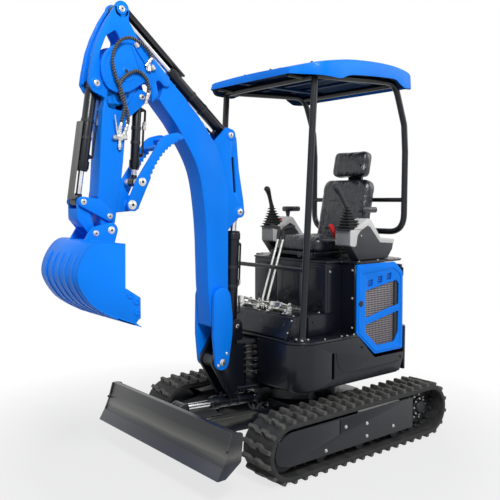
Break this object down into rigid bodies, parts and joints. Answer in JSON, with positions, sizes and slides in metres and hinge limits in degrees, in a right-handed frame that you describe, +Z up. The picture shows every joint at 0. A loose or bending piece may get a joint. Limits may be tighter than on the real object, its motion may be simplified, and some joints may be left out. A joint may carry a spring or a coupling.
{
  "type": "mini excavator",
  "caption": "Compact tracked digger with an open canopy, swing boom, arm, bucket and thumb, a dozer blade in front, and a turning upper deck with seat and controls.",
  "frame": {"origin": "centre of the machine's box, on the ground under the tracks", "axes": "+X to the front, where the blade and boom are; +Y to the operator's left; +Z up"},
  "size_m": [2.3826, 1.24, 2.5163],
  "materials": {
    "blue_paint": "gloss two-pack enamel",
    "black_paint": "satin enamel",
    "track_rubber": "matt, new",
    "cast_iron": "painted casting",
    "seat_vinyl": "soft grained vinyl",
    "grip_rubber": "moulded grip and bellows",
    "console_plastic": "grained moulding",
    "rod_chrome": "ground and plated",
    "lever_steel": "zinc plated rod"
  },
  "bodies": {
    "undercarriage": {"left_track": "track_rubber", "right_track": "track_rubber", "left_track_frame": "black_paint", "right_track_frame": "black_paint", "left_sprocket": "cast_iron", "right_sprocket": "cast_iron", "left_idler": "cast_iron", "right_idler": "cast_iron", "centre_frame": "black_paint", "slew_ring": "cast_iron"},
    "blade": {"blade": "black_paint"},
    "blade_barrel": {"blade_cylinder_barrel": "black_paint"},
    "blade_rod": {"blade_cylinder_rod": "rod_chrome"},
    "upper": {"deck_frame": "black_paint", "left_skirt": "black_paint", "right_skirt": "black_paint", "floor_plate": "black_paint", "foot_box": "black_paint", "engine_cover": "black_paint", "engine": "cast_iron", "right_cover": "blue_paint", "counterweight": "black_paint", "seat_deck": "black_paint", "seat_mount": "black_paint", "seat_cushion": "seat_vinyl", "seat_back": "seat_vinyl", "headrest": "seat_vinyl", "seat_stay": "black_paint", "left_console": "console_plastic", "right_console": "console_plastic", "left_joystick": "grip_rubber", "right_joystick": "grip_rubber", "travel_levers": "lever_steel", "canopy_frame": "black_paint", "canopy_roof": "blue_paint"},
    "side_door": {"left_door": "blue_paint"},
    "hood": {"rear_hood": "black_paint"},
    "swing_post": {"swing_post": "black_paint"},
    "boom": {"boom": "blue_paint", "left_boom_cheek": "blue_paint", "right_boom_cheek": "blue_paint", "arm_pivot_pin": "cast_iron"},
    "boom_barrel": {"boom_cylinder_barrel": "black_paint"},
    "boom_rod": {"boom_cylinder_rod": "rod_chrome"},
    "arm": {"arm": "blue_paint"},
    "arm_barrel": {"arm_cylinder_barrel": "black_paint"},
    "arm_rod": {"arm_cylinder_rod": "rod_chrome"},
    "bucket": {"bucket": "blue_paint"},
    "bucket_barrel": {"bucket_cylinder_barrel": "black_paint"},
    "bucket_rod": {"bucket_cylinder_rod": "rod_chrome"},
    "rocker": {"rocker_link": "blue_paint"},
    "push_link": {"push_link": "blue_paint"},
    "thumb": {"thumb": "blue_paint"},
    "thumb_barrel": {"thumb_cylinder_barrel": "black_paint"},
    "thumb_rod": {"thumb_cylinder_rod": "rod_chrome"}
  },
  "joints": [
    {"name": "slew", "type": "hinge", "parent": "undercarriage", "child": "upper", "pos_m": [-0.41788, 0, 0.4203], "axis": [0, 0, 1], "continuous": true},
    {"name": "blade_lift", "type": "hinge", "parent": "undercarriage", "child": "blade", "pos_m": [0.08212, 0, 0.225], "axis": [0, -1, 0], "range_deg": [-34, 6]},
    {"name": "blade_ram_swing", "type": "hinge", "parent": "undercarriage", "child": "blade_barrel", "pos_m": [-0.05788, 0, 0.3], "axis": [0, -1, 0], "range_deg": [-25, 4.45]},
    {"name": "blade_ram", "type": "slide", "parent": "blade_barrel", "child": "blade_rod", "axis": [0.9982, 0, 0.0592], "range_m": [-0.00548, 0.03058]},
    {"name": "door", "type": "hinge", "parent": "upper", "child": "side_door", "pos_m": [-0.89288, 0.47, 0.4203], "axis": [0, 0, 1], "range_deg": [0, 90]},
    {"name": "hood", "type": "hinge", "parent": "upper", "child": "hood", "pos_m": [-0.93788, -0.425, 0.4203], "axis": [0, 0, 1], "range_deg": [0, 80]},
    {"name": "boom_swing", "type": "hinge", "parent": "upper", "child": "swing_post", "pos_m": [0.07212, 0, 0.4203], "axis": [0, 0, 1], "range_deg": [-50, 65]},
    {"name": "boom_lift", "type": "hinge", "parent": "swing_post", "child": "boom", "pos_m": [0.25312, 0, 0.5773], "axis": [0, -1, 0], "range_deg": [-95, 3]},
    {"name": "boom_ram_swing", "type": "hinge", "parent": "swing_post", "child": "boom_barrel", "pos_m": [0.12512, 0, 0.7703], "axis": [0, -1, 0], "range_deg": [-98.89, 3.17]},
    {"name": "boom_ram", "type": "slide", "parent": "boom_barrel", "child": "boom_rod", "axis": [-0.0431, 0, 0.9991], "range_m": [-0.01074, 0.3371]},
    {"name": "arm_crowd", "type": "hinge", "parent": "boom", "child": "arm", "pos_m": [0.84412, 0, 2.1653], "axis": [0, 1, 0], "range_deg": [-68, 14]},
    {"name": "arm_ram_swing", "type": "hinge", "parent": "boom", "child": "arm_barrel", "pos_m": [0.16212, 0, 1.8853], "axis": [0, -1, 0], "range_deg": [-1.06, 4.96]},
    {"name": "arm_ram", "type": "slide", "parent": "arm_barrel", "child": "arm_rod", "axis": [0.7585, 0, 0.6517], "range_m": [-0.3437, 0.07084]},
    {"name": "bucket_curl", "type": "hinge", "parent": "arm", "child": "bucket", "pos_m": [0.94712, 0, 1.3593], "axis": [0, -1, 0], "range_deg": [-100, 30]},
    {"name": "bucket_ram_swing", "type": "hinge", "parent": "arm", "child": "bucket_barrel", "pos_m": [0.99612, 0, 2.0913], "axis": [0, -1, 0], "range_deg": [-0.36, 1.07]},
    {"name": "bucket_ram", "type": "slide", "parent": "bucket_barrel", "child": "bucket_rod", "axis": [0.151, 0, -0.9885], "range_m": [-0.05118, 0.17037]},
    {"name": "rocker_turn", "type": "hinge", "parent": "arm", "child": "rocker", "pos_m": [0.94412, 0, 1.4293], "axis": [0, -1, 0], "range_deg": [-67.55, 20.3]},
    {"name": "push_link_turn", "type": "hinge", "parent": "rocker", "child": "push_link", "pos_m": [1.08612, 0, 1.5023], "axis": [0, -1, 0], "range_deg": [-7.55, 25.05]},
    {"name": "thumb_turn", "type": "hinge", "parent": "arm", "child": "thumb", "pos_m": [0.82512, 0, 1.4863], "axis": [0, -1, 0], "range_deg": [0, 110]},
    {"name": "thumb_ram_swing", "type": "hinge", "parent": "arm", "child": "thumb_barrel", "pos_m": [0.73612, 0, 2.0473], "axis": [0, -1, 0], "range_deg": [-4, 0.05]},
    {"name": "thumb_ram", "type": "slide", "parent": "thumb_barrel", "child": "thumb_rod", "axis": [0.0655, 0, -0.9979], "range_m": [-0.0001, 0.21524]}
  ],
  "couplings": [
    {"joint": "blade_ram_swing", "follows": "blade_lift", "ratio": 0.73382},
    {"joint": "blade_ram", "follows": "blade_lift", "m_per_rad": -0.051358},
    {"joint": "boom_ram_swing", "follows": "boom_lift", "ratio": 1.0404},
    {"joint": "boom_ram", "follows": "boom_lift", "m_per_rad": -0.20325},
    {"joint": "arm_ram_swing", "follows": "arm_crowd", "ratio": -0.072148},
    {"joint": "arm_ram", "follows": "arm_crowd", "m_per_rad": 0.28951},
    {"joint": "bucket_ram_swing", "follows": "bucket_curl", "ratio": -0.010205},
    {"joint": "bucket_ram", "follows": "bucket_curl", "m_per_rad": -0.097556},
    {"joint": "rocker_turn", "follows": "bucket_curl", "ratio": 0.675},
    {"joint": "push_link_turn", "follows": "bucket_curl", "ratio": -0.25},
    {"joint": "thumb_ram_swing", "follows": "thumb_turn", "ratio": -0.035948},
    {"joint": "thumb_ram", "follows": "thumb_turn", "m_per_rad": 0.11206}
  ]
}
